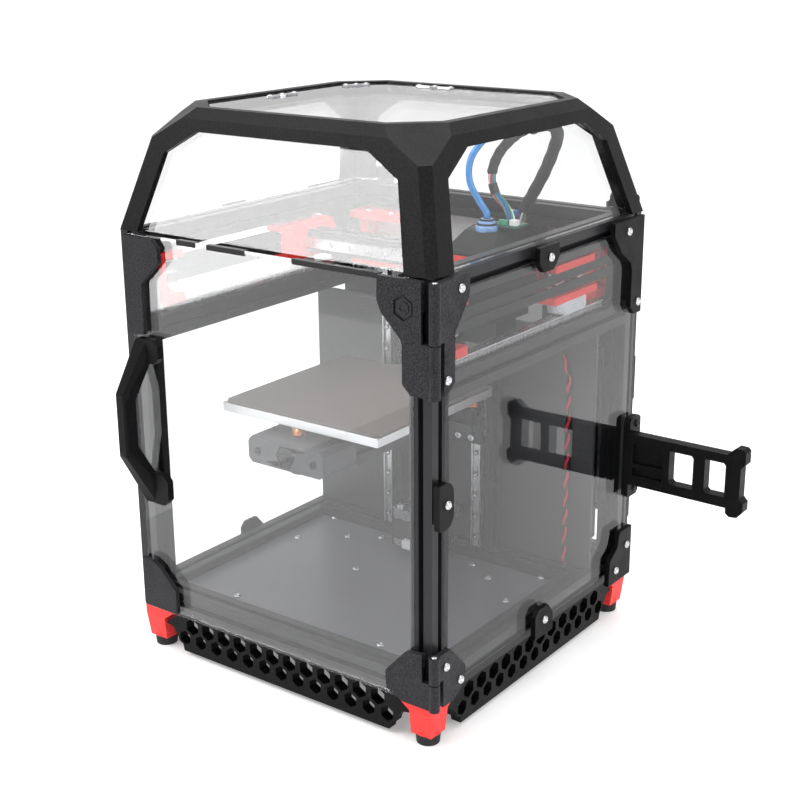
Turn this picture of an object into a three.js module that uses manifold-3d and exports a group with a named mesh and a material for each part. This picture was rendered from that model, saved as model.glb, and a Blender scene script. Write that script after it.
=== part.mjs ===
// Enclosed desktop 3-D printer, built as separate pieces. Millimetres, +Z up, -Y front, +X right.
import * as THREE from 'three';
import { ConvexGeometry } from 'three/addons/geometries/ConvexGeometry.js';
import { mergeVertices } from 'three/addons/utils/BufferGeometryUtils.js';
import Module from 'manifold-3d';

const wasm = await Module();
wasm.setup();

// ---- driving dimensions ----
const W = 115;          // half width of the square frame
const E = 15;           // extrusion size
const H = 247;          // frame height, underside of bottom extrusions at Z 0
const I = W - E;        // inner face of the extrusions
const G = 0.3;          // gap between touching pieces
const GANTRY_Z = 177;   // underside of the gantry extrusions
const FOOT = 29.5;      // foot height under the frame
const HZ = 247.6;       // underside of the top hat
const HA = 117.5;       // half width of the hat at its base
const HS = 0.28;        // inward lean of the hat walls per mm of height
const HT = 320.5;       // top of the hat
const HM = 314.5;       // fold between wall and roof facet
const HD = 302;         // start of the corner facets
const HEAD_X = 68, HEAD_Y = 8;   // parked place of the toolhead
const BED_Z = 143;      // top of the build plate at rest
const BED_Y = -31;      // middle of the build plate
const UX = 36.5;        // lift rail spacing, each side of the middle
const UY = 51;          // front face of the uprights

// ---- helpers ----
function toM(geo) {
  let g = geo.clone(); g.deleteAttribute('normal'); g.deleteAttribute('uv');
  g = mergeVertices(g, 1e-4);
  const m = new wasm.Mesh({ numProp: 3, vertProperties: new Float32Array(g.attributes.position.array), triVerts: new Uint32Array(g.index.array) });
  return new wasm.Manifold(m);
}
function toGeo(m) {
  const mesh = m.getMesh(), n = mesh.numProp, c = mesh.vertProperties.length / n, p = new Float32Array(c * 3);
  for (let i = 0; i < c; i++) for (let k = 0; k < 3; k++) p[i * 3 + k] = mesh.vertProperties[i * n + k];
  const g = new THREE.BufferGeometry();
  g.setAttribute('position', new THREE.BufferAttribute(p, 3));
  g.setIndex(new THREE.BufferAttribute(new Uint32Array(mesh.triVerts), 1));
  g.computeVertexNormals();
  return g;
}
function box(x0, x1, y0, y1, z0, z1) {
  const g = new THREE.BoxGeometry(x1 - x0, y1 - y0, z1 - z0);
  g.translate((x0 + x1) / 2, (y0 + y1) / 2, (z0 + z1) / 2);
  return toM(g);
}
// prism of a closed outline; plane 'XY' extrudes along Z, 'XZ' along Y, 'YZ' along X
function prism(pts, a, b, plane = 'XY', holes = []) {
  const s = new THREE.Shape(pts.map(p => new THREE.Vector2(p[0], p[1])));
  const g = new THREE.ExtrudeGeometry(s, { depth: b - a, bevelEnabled: false, steps: 1 });
  g.translate(0, 0, a);
  if (plane === 'XZ') g.applyMatrix4(new THREE.Matrix4().set(1, 0, 0, 0, 0, 0, 1, 0, 0, 1, 0, 0, 0, 0, 0, 1));
  if (plane === 'YZ') g.applyMatrix4(new THREE.Matrix4().set(0, 0, 1, 0, 1, 0, 0, 0, 0, 1, 0, 0, 0, 0, 0, 1));
  if (plane === 'XZ') flip(g);
  let m = toM(g);
  for (const h of holes) m = m.subtract(prism(h, a - 1, b + 1, plane));
  return m;
}
function flip(g) {
  const q = g.index ? g.toNonIndexed() : g, p = q.attributes.position.array;
  for (let i = 0; i < p.length; i += 9) for (let k = 0; k < 3; k++) { const t = p[i + 3 + k]; p[i + 3 + k] = p[i + 6 + k]; p[i + 6 + k] = t; }
  g.setAttribute('position', q.attributes.position); g.setIndex(null);
}
function cyl(r, a, b, axis, u, v, seg = 16, r2 = r) {
  const g = new THREE.CylinderGeometry(r2, r, b - a, seg, 1);   // along Y, r at the low end
  g.translate(0, (a + b) / 2, 0);
  if (axis === 'Z') { g.rotateX(Math.PI / 2); g.translate(u, v, 0); }
  if (axis === 'X') { g.rotateZ(-Math.PI / 2); g.translate(0, u, v); }
  if (axis === 'Y') g.translate(u, 0, v);
  return toM(g);
}
function ring(r, n, cx, cy, rot = 0) {
  return Array.from({ length: n }, (_, i) => [cx + r * Math.cos(rot + i * 2 * Math.PI / n), cy + r * Math.sin(rot + i * 2 * Math.PI / n)]);
}
function hull(points) { return toM(new ConvexGeometry(points.map(p => new THREE.Vector3(...p)))); }
function union(list) { let m = list[0]; for (let i = 1; i < list.length; i++) m = m.add(list[i]); return m; }
function cut(m, list) { for (const c of list) m = m.subtract(c); return m; }

// slotted square extrusion, section centred on (u, v)
function extrusion(axis, a, b, u, v) {
  const h = E / 2, s = 1.7, d = 4.2, o = [];
  for (let k = 0; k < 4; k++) {
    const r = k * Math.PI / 2, c = Math.round(Math.cos(r)), n = Math.round(Math.sin(r));
    for (const [x, y] of [[h, -h], [h, -s], [h - d, -s], [h - d, s], [h, s]]) o.push([u + x * c - y * n, v + x * n + y * c]);
  }
  return prism(o, a, b, axis === 'Z' ? 'XY' : axis === 'Y' ? 'XZ' : 'YZ');
}
// round tube along a smooth curve
function tube(points, r, sides, steps) {
  const s = new THREE.Shape(ring(r, sides, 0, 0).map(p => new THREE.Vector2(...p)));
  const g = new THREE.ExtrudeGeometry(s, { steps, bevelEnabled: false, extrudePath: new THREE.CatmullRomCurve3(points.map(p => new THREE.Vector3(...p)), false, 'centripetal') });
  let m = toM(g);
  return m;
}

const group = new THREE.Group();
group.name = 'fdm_printer';
const MAT = {
  black_extrusion: [0x17181a, 0.45, 0.75], black_print: [0x121213, 0.8, 0], red_print: [0xe0251c, 0.55, 0], clear_acrylic: [0xe8eef0, 0.05, 0],
  steel: [0xb8babd, 0.25, 1], aluminium: [0xc3c4c6, 0.35, 1], build_sheet: [0x9a8f86, 0.6, 0.3], grey_panel: [0x3d3f43, 0.6, 0], rubber: [0x0d0d0d, 0.9, 0],
  blue_tube: [0x1b78c8, 0.4, 0], sleeve: [0x232325, 0.85, 0], white_panel: [0xe6e7e8, 0.7, 0],
};
const SHIFT = { x: 0, y: 0, z: 0 };
const pieces = [];
function add(name, m, mat) { pieces.push([name, m, mat]); }

// ---- extrusion frame ----
for (const [name, s] of [['frame_side_right', 1], ['frame_side_left', -1]]) {
  const x = s * (W - E / 2);
  add(name, union([
    extrusion('Z', 0, H, x, -(W - E / 2)), extrusion('Z', 0, H, x, W - E / 2),
    extrusion('Y', -I - 0.6, I + 0.6, x, E / 2),
    extrusion('Y', -I - 0.6, I + 0.6, x, GANTRY_Z + E / 2),
    extrusion('Y', -I - 0.6, I + 0.6, x, H - E / 2),
  ]), 'black_extrusion');
}
add('rail_bottom_front', extrusion('X', -I + G, I - G, -(W - E / 2), E / 2), 'black_extrusion');
add('rail_bottom_rear', extrusion('X', -I + G, I - G, W - E / 2, E / 2), 'black_extrusion');
add('rail_top_rear', extrusion('X', -I + G, I - G, W - E / 2, H - E / 2), 'black_extrusion');
add('lift_frame', union([
  extrusion('X', -I + G, I - G, UY + E / 2, E / 2),
  extrusion('Z', E - 0.6, 171.5, -UX, UY + E / 2), extrusion('Z', E - 0.6, 171.5, UX, UY + E / 2),
]), 'black_extrusion');

// linear rails
function railZ(x) { return prism([[x - 3.5, UY - G], [x - 3.5, UY - 5], [x - 2.4, UY - 5], [x - 2.4, UY - 3.6], [x + 2.4, UY - 3.6], [x + 2.4, UY - 5], [x + 3.5, UY - 5], [x + 3.5, UY - G]], 20, 170); }
add('lift_rail_left', railZ(-UX), 'steel');
add('lift_rail_right', railZ(UX), 'steel');
for (const [n, s] of [['y_rail_right', 1], ['y_rail_left', -1]]) {
  const x = s * (W - E / 2), z = GANTRY_Z + E;
  add(n, prism([[x - 3.5, z + G], [x + 3.5, z + G], [x + 3.5, z + 2], [x + 2.6, z + 3], [x + 3.5, z + 4], [x + 3.5, z + 5], [x - 3.5, z + 5], [x - 3.5, z + 4], [x - 2.6, z + 3], [x - 3.5, z + 2]], -88, 76, 'XZ'), 'steel');
}

// ---- panels ----
add('floor_panel', box(-I + G, I - G, -I + G, UY - G, 6, 9), 'grey_panel');
add('inner_back_panel', box(-113, 113, 66.4, 69, 15.6, 176.4), 'grey_panel');
function chamfered(a0, a1, b0, b1, c) { return [[a0 + c, b0], [a1 - c, b0], [a1, b0 + c], [a1, b1 - c], [a1 - c, b1], [a0 + c, b1], [a0, b1 - c], [a0, b0 + c]]; }
add('side_panel_right', prism(chamfered(-104, 106, 8, 238, 14), W + G, W + G + 3, 'YZ'), 'clear_acrylic');
add('side_panel_left', prism(chamfered(-104, 106, 8, 238, 14), -W - G - 3, -W - G, 'YZ'), 'clear_acrylic');
add('rear_panel', prism(chamfered(-106, 106, 42, 240, 6), W + G, W + G + 2.5, 'XZ'), 'white_panel');

// ---- feet and skirts ----
for (const [n, sx, sy] of [['foot_front_right', 1, -1], ['foot_front_left', -1, -1], ['foot_rear_right', 1, 1], ['foot_rear_left', -1, 1]]) {
  const sq = (lo, hi, z) => [[lo, lo], [hi, lo], [hi, hi], [lo, hi]].map(([a, b]) => [sx * a, sy * b, z]);
  const block = hull([...sq(98.5, 114.7, -G), ...sq(98.5, 114.7, -7), ...sq(98.8, 113, -23.5)]);
  // flanges along both lower rails, cut at a slant at their ends
  const armX = hull([[88.8, -G], [89.6, -1.8], [98.4, -8.2], [110, -8.2], [110, -G]].flatMap(([u, z]) => [107.2, 114.7].map(v => [sx * u, sy * v, z])));
  const armY = hull([[88.8, -G], [89.6, -1.8], [98.4, -8.2], [110, -8.2], [110, -G]].flatMap(([u, z]) => [107.2, 114.7].map(v => [sx * v, sy * u, z])));
  const pad = cyl(6.9, -FOOT, -22, 'Z', sx * 106, sy * 106, 20, 7.6);
  add(n, union([block, armX, armY, pad]), 'red_print');
}
function skirt(len) {   // outline in (u, z), with two rows of hexagonal holes
  const t = -1.2, b = -26.8, h = len / 2;
  const out = [[-87.2, t], [-88.2, -3.2], [-97.6, -10.2], [-97.6, -11.2], [-92.5, -12], [-88, -18], [-87.2, -21], [-84, -22.4], [-83, b], [83, b], [84, -22.4], [87.2, -21], [88, -18], [92.5, -12], [97.6, -11.2], [97.6, -10.2], [88.2, -3.2], [87.2, t]];
  const holes = [], p = 13.6;
  for (let row = 0; row < 2; row++) {
    const z = -7.9 - row * 9.3, n = 12 + row, r = 5.6 - row * 0.7;
    for (let i = 0; i < n; i++) holes.push(ring(r, 6, (i - (n - 1) / 2) * p, z, Math.PI / 6).reverse());
  }
  return [out, holes];
}
{
  const [o, h] = skirt(164);
  const S0 = 106.4, S1 = 113.2;
  add('skirt_front', prism(o, -S1, -S0, 'XZ', h), 'black_print');
  add('skirt_rear', prism(o, S0, S1, 'XZ', h), 'black_print');
  add('skirt_right', prism(o, S0, S1, 'YZ', h), 'black_print');
  add('skirt_left', prism(o, -S1, -S0, 'YZ', h), 'black_print');
}

// ---- drive units, lift motor, electronics ----
for (const [n, s] of [['drive_unit_right', 1], ['drive_unit_left', -1]]) {
  const bx = (a, b, c, d, e, f) => box(Math.min(s * a, s * b), Math.max(s * a, s * b), c, d, e, f);
  let u = union([
    bx(58, 99.4, 88, 114.4, 192.6, 198), bx(58, 99.4, 88, 114.4, 224, 229), bx(58, 66, 104, 114.4, 197.9, 224.1),
    bx(92, 99.4, 106, 114.4, 197.9, 224.1),
    bx(62, 97.2, 84.5, 114.2, 157, 192.7),
    cyl(7, 197.9, 213, 'Z', s * 80, 99, 16), cyl(3, 197.9, 224.1, 'Z', s * 92, 95, 10),
  ]);
  add(n, u, 'red_print');
}
add('lift_motor', union([box(-17.5, 17.5, 24.5, 59.6, 15.3, 43), cyl(11, 42.9, 45, 'Z', 0, 42, 20)]), 'steel');
add('power_box', union([
  prism(chamfered(-92, 92, 15.8, 150, 3), 82, 112, 'XZ'),
  prism(chamfered(-24, 24, 20, 38, 2), 111.9, 117.6, 'XZ'),
]), 'black_print');

// ---- lead screw ----
add('lead_screw', union([cyl(3, 45.6, 190, 'Z', 0, 42, 12), cyl(5.5, 46, 56, 'Z', 0, 42, 16)]), 'steel');

// ---- spool holder ----
{
  const pad = prism([[96.6, 61], [98.6, 59], [109, 59], [111, 61], [111, 112], [109, 114], [98.6, 114], [96.6, 112]], W + 3 + 2 * G, 123.4, 'YZ');
  const y0 = 93, y1 = 101;
  const bodyO = [[123.3, 70.5], [193.6, 70], [194, 66.5], [196.6, 64.5], [201.6, 65], [205.4, 69.5], [205.4, 75], [202.6, 78], [202.6, 98], [205.4, 101], [205.4, 108.8], [203.6, 110.6], [198.6, 110.8], [194.6, 107.4], [193.2, 105.5], [123.3, 105.5]];
  const win = (a, b) => [[a + 1.5, 77], [b, 77], [b, 98], [b - 1.5, 99.5], [a, 99.5], [a, 78.5]];
  let arm = prism(bodyO, y0, y1, 'XZ', [win(154, 170.5), win(178.5, 192.5)]);
  arm = cut(arm, [box(128, 149, y0 - 1, y0 + 2.5, 86, 99), box(128, 149, y0 - 1, y0 + 2.5, 77.5, 83)]);
  add('spool_holder', union([pad, arm]), 'black_print');
}

// ---- panel clips on the right side ----
const CX0 = W + 3 + 2 * G, CX1 = CX0 + 3.4;
add('clip_right_top', prism([[-20, 249.5 - 2], [-20, 239], [-15, 232.5], [-4, 232.5], [2, 239], [2, 247.2], [-20, 247.2]].slice(1), CX0, CX1, 'YZ'), 'black_print');
add('clip_right_front', union([prism([[-118, 109], [-113, 108], [-107, 109.5], [-104.2, 114], [-104.2, 130], [-107, 134], [-111, 135.6], [-118, 135.2]], CX0, CX1, 'YZ'), box(W + G, CX0 + 0.1, -114.6, -104.8, 111, 133)]), 'black_print');
add('clip_right_bottom', prism([[-15, 0.8], [6, 0.8], [6, 13], [0, 20], [-11, 20], [-15, 16]], CX0, CX1, 'YZ'), 'black_print');
add('clip_right_rear_low', prism([[108, 1], [108, 36], [91, 36], [89, 26], [79, 19], [78, 1]], CX0, CX1, 'YZ'), 'black_print');
add('clip_right_rear_top', prism([[106.5, 247], [68, 247], [68, 239], [78, 227], [90, 219], [92, 214], [92, 190], [97, 184.5], [106.5, 184.5]], CX0, CX1, 'YZ'), 'black_print');

// ---- door, hinged on the front right corner ----
// fixed leaves lie on the right face, moving leaves on the front face, pin just outside the corner
const PX = 120.6, PY = -120.6;     // hinge pin
const DY0 = -W - 0.6 - 3, DY1 = -W - 0.6;   // door panel faces
function fixedLeaf(profile, knuckles) {
  const plate = prism(profile, CX0, 122.2, 'YZ');
  return union([plate, ...knuckles.flatMap(([a, b]) => [cyl(3.2, a, b, 'Z', PX, PY, 14), box(118.7, 122.2, -120.5, -113.9, a, b)])]);
}
function movingLeaf(profile, knuckles) {
  const plate = prism(profile, -122.2, DY0 - G, 'XZ');
  return union([plate, ...knuckles.flatMap(([a, b]) => [cyl(3.2, a, b, 'Z', PX, PY, 14), box(112, 120.5, -122.2, -119, a, b)])]);
}
const upSide = [[-114, 247], [-91, 247], [-90.5, 238], [-92, 233], [-104, 218], [-104.2, 190], [-112, 184.5], [-114, 184.5]];
const upFront = [[84.5, 247], [84, 234], [87, 227], [99.5, 214.5], [100.5, 212], [100.5, 190], [106, 184.5], [113, 184.5], [113, 247]];
add('hinge_fixed_upper', fixedLeaf(upSide, [[214.3, 247]]), 'black_print');
const loSide = [[-114, 1], [-104, 1], [-92, 8], [-92, 18.5], [-107, 34.5], [-114, 34.5]];
const loFront = [[113, 1], [99, 1], [88, 6.5], [87.5, 17.5], [101.5, 33], [113, 34.5]];
add('hinge_fixed_lower', fixedLeaf(loSide, [[18.2, 34.5]]), 'black_print');
const hexBoss = { x: 101.5, z: 231.5 };
add('hinge_door_upper', cut(movingLeaf(upFront, [[184.5, 213.7]]), [prism(ring(7.2, 6, hexBoss.x, hexBoss.z, Math.PI / 6), -123, -121.2, 'XZ')]), 'black_print');
add('hinge_door_lower', movingLeaf(loFront, [[1, 17.6]]), 'black_print');
add('door_panel', prism([[-105.5, 0.6], [103.5, 0.6], [103.5, 246.4], [-105.5, 246.4]], DY0, DY1, 'XZ'), 'clear_acrylic');
add('door_latch_upper', prism([[-107.3, 184.6], [-93, 186], [-92.6, 217.5], [-77.4, 232], [-78, 241], [-82.5, 246], [-107.3, 246]], -122, DY0 - G, 'XZ'), 'black_print');
add('door_latch_lower', prism([[-107.3, 3.5], [-78.7, 3.5], [-78.7, 19.5], [-91.8, 32.6], [-98.7, 36.3], [-107.3, 36.3]], -122, DY0 - G, 'XZ'), 'black_print');
{
  // C-shaped handle: two mounts, two slanting legs and an upright grip
  const yb = DY0 - G;
  const b8 = (x0, x1, y0, y1, z0, z1) => [x0, x1].flatMap(x => [y0, y1].flatMap(y => [z0, z1].map(z => [x, y, z])));
  const mount = (z0, z1, xr) => prism([[-99.5, z0 + 2], [-97.5, z0], [xr - 4, z0], [xr, z0 + 4], [xr, z1 - 4], [xr - 4, z1], [-97.5, z1], [-99.5, z1 - 2]], yb - 4.8, yb, 'XZ');
  const grip = hull([...b8(-102.8, -97.2, -139, -128.2, 111, 151), ...b8(-104, -96, -137.8, -129.4, 111, 151)]);
  const legT = hull([...b8(-99.4, -90.5, yb - 4.7, yb - 0.4, 170.5, 182.5), ...b8(-102.8, -97.2, -139, -128.2, 146, 150.9), ...b8(-104, -96, -137.8, -129.4, 146, 150.9)]);
  const legB = hull([...b8(-99.4, -90.5, yb - 4.7, yb - 0.4, 80, 94), ...b8(-102.8, -97.2, -139, -128.2, 111.1, 116), ...b8(-104, -96, -137.8, -129.4, 111.1, 116)]);
  add('door_handle', union([mount(169, 184, -80.5), mount(78, 98, -78.5), grip, legT, legB]), 'black_print');
}

// ---- top hat ----
const hA = z => HA - (z - HZ) * HS;
function octagon(z, a, c) { return [[a - c, -a], [a, -(a - c)], [a, a - c], [a - c, a], [-(a - c), a], [-a, a - c], [-a, -(a - c)], [-(a - c), -a]].map(p => [p[0], p[1], z]); }
// the closed outer form: leaning walls, roof facets and corner facets, all moved inward by off
function hatHull(off, z0, z1) {
  const R = Math.SQRT1_2, base = (2 * HA - 5) * R, shoulder = (2 * hA(HD) - 5.5) * R;
  const lean = (base - shoulder) / (HD - HZ);
  let m = box(-130, 130, -130, 130, z0, z1);
  const trim = (x, y, r0, zr, slope) => {   // radius r0 at height zr, shrinking by slope per mm
    const l = Math.hypot(1, slope), n = [x / l, y / l, slope / l], d = (r0 + slope * zr) / l - off;
    m = m.trimByPlane([-n[0], -n[1], -n[2]], -d);
  };
  for (const [x, y] of [[1, 0], [-1, 0], [0, 1], [0, -1]]) { trim(x, y, HA, HZ, HS); trim(x, y, hA(HM), HM, 1); }
  for (const [x, y] of [[R, R], [R, -R], [-R, R], [-R, -R]]) { trim(x, y, base, HZ, lean); trim(x, y, shoulder, HD, 1.45); }
  return m;
}
{
  const outer = hatHull(0, HZ, HT), inner = hatHull(4, HZ - 1, HT - 3);
  const top = hull([...octagon(HM - 6, 86.5, 22), ...octagon(HT + 1, 86.5, 22)]);
  // window openings, cut through each wall down to the base
  const win = [[-98.5, HZ - 2], [98.5, HZ - 2], [98.5, HZ], [85.5, 294], [62, 307.5], [-62, 307.5], [-85.5, 294], [-98.5, HZ]];
  let f = cut(outer, [inner, top]);
  f = cut(f, [prism(win, -125, -60, 'XZ'), prism(win, 60, 125, 'XZ'), prism(win, -125, -60, 'YZ'), prism(win, 60, 125, 'YZ')]);
  // hinge knuckles behind the rear posts
  const lug = s => union([cyl(3.6, Math.min(s * 99, s * 107), Math.max(s * 99, s * 107), 'X', 124.2, 251.8, 14), hull([[s * 99, 117.0, HZ + 0.2], [s * 99, 116, 256], [s * 99, 123.5, 255.2], [s * 99, 122.5, 248.6], [s * 107, 117.0, HZ + 0.2], [s * 107, 116, 256], [s * 107, 123.5, 255.2], [s * 107, 122.5, 248.6]])]);
  f = union([f, lug(1), lug(-1)]);
  add('hat_frame', f, 'black_print');
  const g0 = hatHull(4.3, HZ + 0.2, 309), g1 = hatHull(6.8, HZ - 1, 310);
  add('hat_windows', cut(g0, [g1]), 'clear_acrylic');
  add('hat_top_panel', hull([...octagon(HT - 4.2, 86.1, 21.9), ...octagon(HT - 1.2, 86.1, 21.9)]), 'clear_acrylic');
}
for (const [n, s] of [['hat_hinge_right', 1], ['hat_hinge_left', -1]]) {
  const bx = (a, b, c, d, e, f) => box(Math.min(s * a, s * b), Math.max(s * a, s * b), c, d, e, f);
  add(n, union([bx(88, 98, 117.9, 122.5, 232, 250), cyl(3.6, Math.min(s * 89, s * 98), Math.max(s * 89, s * 98), 'X', 124.2, 251.8, 14), bx(89, 98, 120.2, 126.8, 240, 251)]), 'black_print');
}

// ---- gantry ----
const XBY = HEAD_Y + 24;   // front face of the cross beam
for (const [n, s] of [['xy_joint_right', 1], ['xy_joint_left', -1]]) {
  const bx = (a, b, c, d, e, f) => box(Math.min(s * a, s * b), Math.max(s * a, s * b), c, d, e, f);
  const y0 = XBY - 24, y1 = XBY + 34;
  let j = union([
    bx(92, 114, y0 + 4, y1 - 4, 206, 210.5), bx(92.4, 113, y0 + 6, y1 - 6, 225, 229.5), bx(92, 98.5, y0 + 4, y1 - 4, 210.4, 225.1),
    cyl(5.6, 210.4, 225.1, 'Z', s * 105.5, XBY + 16, 14), cyl(5.6, 210.4, 225.1, 'Z', s * 105.5, XBY - 8, 14),
    bx(101.5, 113.5, y0 + 16, y1 - 16, 198, 206.1),
  ]);
  j = cut(j, [cyl(10, Math.min(s * 88, s * 92.2), Math.max(s * 88, s * 92.2), 'X', XBY + 7, 217, 16)]);
  add(n, j, 'red_print');
}
add('cross_beam', union([extrusion('X', -91.6, 91.6, XBY + 7.5, 217.8), box(-89, 89, XBY - 5, XBY + 0.1, 214.3, 221.3)]), 'black_extrusion');

// ---- toolhead ----
{
  const x = HEAD_X, y = HEAD_Y;
  const X = (a, b, c, d, e, f) => box(x + a, x + b, y + c, y + d, e, f);
  let b = union([
    // body with chamfered front, carriage behind it, ducts and hot end below
    prism([[x - 21, y + 15], [x - 21, y - 12], [x - 15, y - 20], [x + 15, y - 20], [x + 21, y - 12], [x + 21, y + 15]], 196, 236),
    hull([...[[-21, -12], [-15, -20], [15, -20], [21, -12], [21, 15], [-21, 15]].map(p => [x + p[0], y + p[1], 235.9]), ...[[-12, -6], [12, -6], [17, 12], [-17, 12]].map(p => [x + p[0], y + p[1], 247])]),
    X(-12, 12, 14.9, 18.6, 208, 228),
    X(-19, -9, -18, 4, 182, 196.1), X(9, 19, -18, 4, 182, 196.1),
    X(-8, 8, -12, 8, 180, 196.1),
    cyl(2, 171.5, 180.1, 'Z', x, y - 2, 12, 4),
    cyl(6.2, 246.9, 251.5, 'Z', x, y, 18), cyl(4.6, 251.4, 254, 'Z', x, y, 18),
    X(6, 19, 2, 14, 240, 250.5),
  ]);
  b = cut(b, [cyl(13, y - 21, y - 17.5, 'Y', x, 216, 20)]);
  b = union([b, cyl(5, y - 19.5, y - 17.3, 'Y', x, 216, 16)]);
  add('toolhead', b, 'black_print');
}

// ---- bed ----
add('build_plate', box(-60, 60, BED_Y - 60, BED_Y + 60, BED_Z - 7, BED_Z - 1.3), 'aluminium');
{
  const c = 4, s = 59.6, y = BED_Y;
  add('build_sheet', prism([[-s, y - s + c], [-s + c, y - s], [s - c, y - s], [s, y - s + c], [s, y + s], [22, y + s], [20, y + s + 4], [-20, y + s + 4], [-22, y + s], [-s, y + s]], BED_Z - 1, BED_Z), 'build_sheet');
}
{
  const z = BED_Z - 30, t = BED_Z - 12.2;   // T-shaped carrier of extrusions with its brackets
  let f = union([
    extrusion('Y', -70.6, 15.6, -21.5, z + 7.5), extrusion('Y', -70.6, 15.6, 21.5, z + 7.5), extrusion('X', -54, 54, 22.5, z + 7.5),
    ...[-UX, UX].flatMap(x => [
      box(x - 11, x + 11, 29.9, 34.1, z - 6, z + 15),
      box(x - 11.5, x + 11.5, 34, 38.5, z - 14, z + 24),
      box(x - 8.5, x + 8.5, 38.4, UY - 5.3, z - 11, z + 20),
    ]),
    box(-14, 14, 29.9, 33, z - 2, z + 14), 
  ]);
  f = union([f, cut(box(-15, 15, 32.9, 51, z - 2, z + 6), [cyl(3.6, z - 3, z + 7, 'Z', 0, 42, 16)])]);
  // spacers under the plate
  for (const [x, y] of [[-48, 22.5], [48, 22.5]]) f = union([f, cyl(3.4, z + 14.9, BED_Z - 7.3, 'Z', x, y, 12)]);
  add('bed_carrier', f, 'black_extrusion');
}
{
  const z = BED_Z - 30;
  let b = prism([[-29, z + 3], [-26, z], [26, z], [29, z + 3], [29, z + 14], [26, z + 17], [-26, z + 17], [-29, z + 14]], -103, -71, 'XZ');
  b = cut(b, [prism(ring(7.5, 6, 0, z + 8.5), -104, -101.4, 'XZ')]);
  b = union([b, cyl(5.5, z - 6, z + 0.1, 'Z', -2, -87, 14), cyl(3.4, z + 16.9, BED_Z - 7.3, 'Z', -2, -87, 12)]);
  add('bed_front_mount', b, 'black_print');
}

// ---- wiring and filament tube, held at both ends ----
const TIE = [76, 44, 303];
export const TUBE_PATH = [[68, 8, 254.4], [67.9, 8, 257], [64, 6, 264], [58.5, 3.5, 276], [57.2, 6, 288], [60, 12, 297], [65, 22, 305], [70.5, 33, 310.2], [74.5, 42, 311.8]];
export const LOOM_PATH = [[79.5, 17, 250.9], [79.4, 17, 253.5], [75.5, 17.3, 260], [68, 17, 268], [65, 17.5, 279], [66.5, 23, 291], [71.5, 33, 300.5], [76.5, 43, 305]];
export const SLEEVE_PATH = [[77, 44.4, 305.2], [83, 55, 305], [82.5, 63, 299], [76, 70, 288], [66, 76, 272], [53, 83, 255], [43, 90, 243], [40.2, 92.4, 234.5], [40.2, 92.5, 230.2]];
add('filament_tube', tube(TUBE_PATH, 2, 8, 22), 'blue_tube');
add('loom_front', tube(LOOM_PATH, 3.2, 8, 22), 'sleeve');
add('loom_rear', tube(SLEEVE_PATH, 4, 8, 26), 'sleeve');
add('loom_anchor', union([box(33, 47, 88, 99.2, 222, 229.8), box(33, 47, 99.1, 114.4, 222, 231.6)]), 'black_print');

// ---- to the shared frame: origin at the middle of the bounding box ----
const bb = new THREE.Box3();
const geos = pieces.map(([name, m, mat]) => { const g = toGeo(m); g.computeBoundingBox(); bb.union(g.boundingBox); return [name, g, mat]; });
const mid = bb.getCenter(new THREE.Vector3());
for (const [name, g, mat] of geos) {
  g.translate(-mid.x, -mid.y, -bb.min.z);
  const [c, r, me] = MAT[mat];
  const mesh = new THREE.Mesh(g, new THREE.MeshStandardMaterial({ color: c, roughness: r, metalness: me }));
  mesh.name = name;
  group.add(mesh);
}
group.userData.middle = [mid.x, mid.y, bb.min.z];

export default group;
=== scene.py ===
# Looks of the enclosed desktop 3-D printer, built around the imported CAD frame. Lengths in helpers are millimetres of the machine's own grid.
import math
import random

import bpy
import bmesh
from mathutils import Matrix, Vector


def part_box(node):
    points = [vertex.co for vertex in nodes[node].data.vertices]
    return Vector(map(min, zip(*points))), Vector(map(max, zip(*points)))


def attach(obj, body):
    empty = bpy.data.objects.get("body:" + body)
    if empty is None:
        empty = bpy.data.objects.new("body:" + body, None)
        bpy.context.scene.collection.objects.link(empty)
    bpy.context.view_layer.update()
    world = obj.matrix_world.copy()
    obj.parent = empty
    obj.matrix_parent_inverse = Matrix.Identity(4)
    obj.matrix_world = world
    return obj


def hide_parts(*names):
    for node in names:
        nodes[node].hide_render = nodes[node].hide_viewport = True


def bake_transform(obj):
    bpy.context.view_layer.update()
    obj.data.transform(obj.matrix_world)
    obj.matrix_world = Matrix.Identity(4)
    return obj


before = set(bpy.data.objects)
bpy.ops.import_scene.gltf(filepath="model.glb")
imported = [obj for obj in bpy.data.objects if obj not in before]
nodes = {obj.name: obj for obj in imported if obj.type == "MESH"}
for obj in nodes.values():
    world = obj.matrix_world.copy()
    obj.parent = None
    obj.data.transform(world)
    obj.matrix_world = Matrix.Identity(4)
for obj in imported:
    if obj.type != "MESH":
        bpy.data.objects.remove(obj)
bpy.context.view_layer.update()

scene = bpy.context.scene
rnd = random.Random(7)

# the machine's own grid: X and Y from the middle of the square frame, Z from the underside of its bottom rails
_lo, _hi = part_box("frame_side_right")
MX, MY, MZ = 115 - _hi.x * 1000, 115 - _hi.y * 1000, -_lo.z * 1000


def P(x, y, z):
    return Vector(((x - MX) / 1000, (y - MY) / 1000, (z - MZ) / 1000))


def fx(x): return (x - MX) / 1000
def fy(y): return (y - MY) / 1000
def fz(z): return (z - MZ) / 1000


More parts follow.
